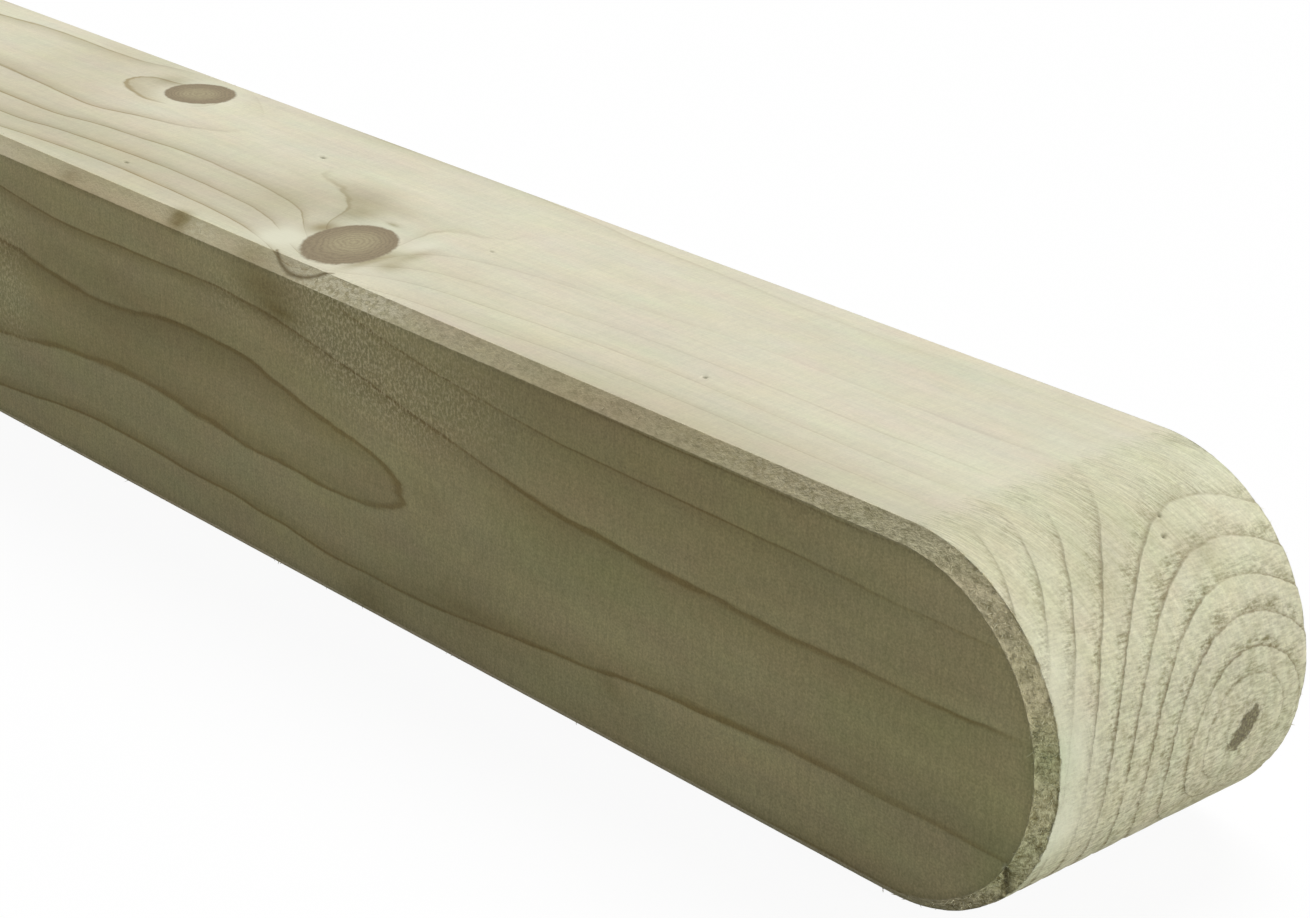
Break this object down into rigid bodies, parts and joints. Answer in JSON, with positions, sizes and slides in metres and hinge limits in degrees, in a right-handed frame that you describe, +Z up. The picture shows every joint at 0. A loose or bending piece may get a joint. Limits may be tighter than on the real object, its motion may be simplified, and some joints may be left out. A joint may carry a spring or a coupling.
{
  "type": "round-top fence post",
  "caption": "Square planed softwood fence post with a half-round head and a bevelled arris that runs along its edges and round the head, lying on its side.",
  "frame": {"origin": "on the floor, under the middle of the post's length and width, as it lies", "axes": "+X along the post towards its round head, +Y across to the far flat face, +Z up to the face that rolls over into the head"},
  "size_m": [1.7999, 0.07, 0.07],
  "materials": {
    "treated_softwood": "planed, pressure treated pale green, unpainted"
  },
  "bodies": {
    "root": {"post": "treated_softwood"}
  },
  "joints": []
}
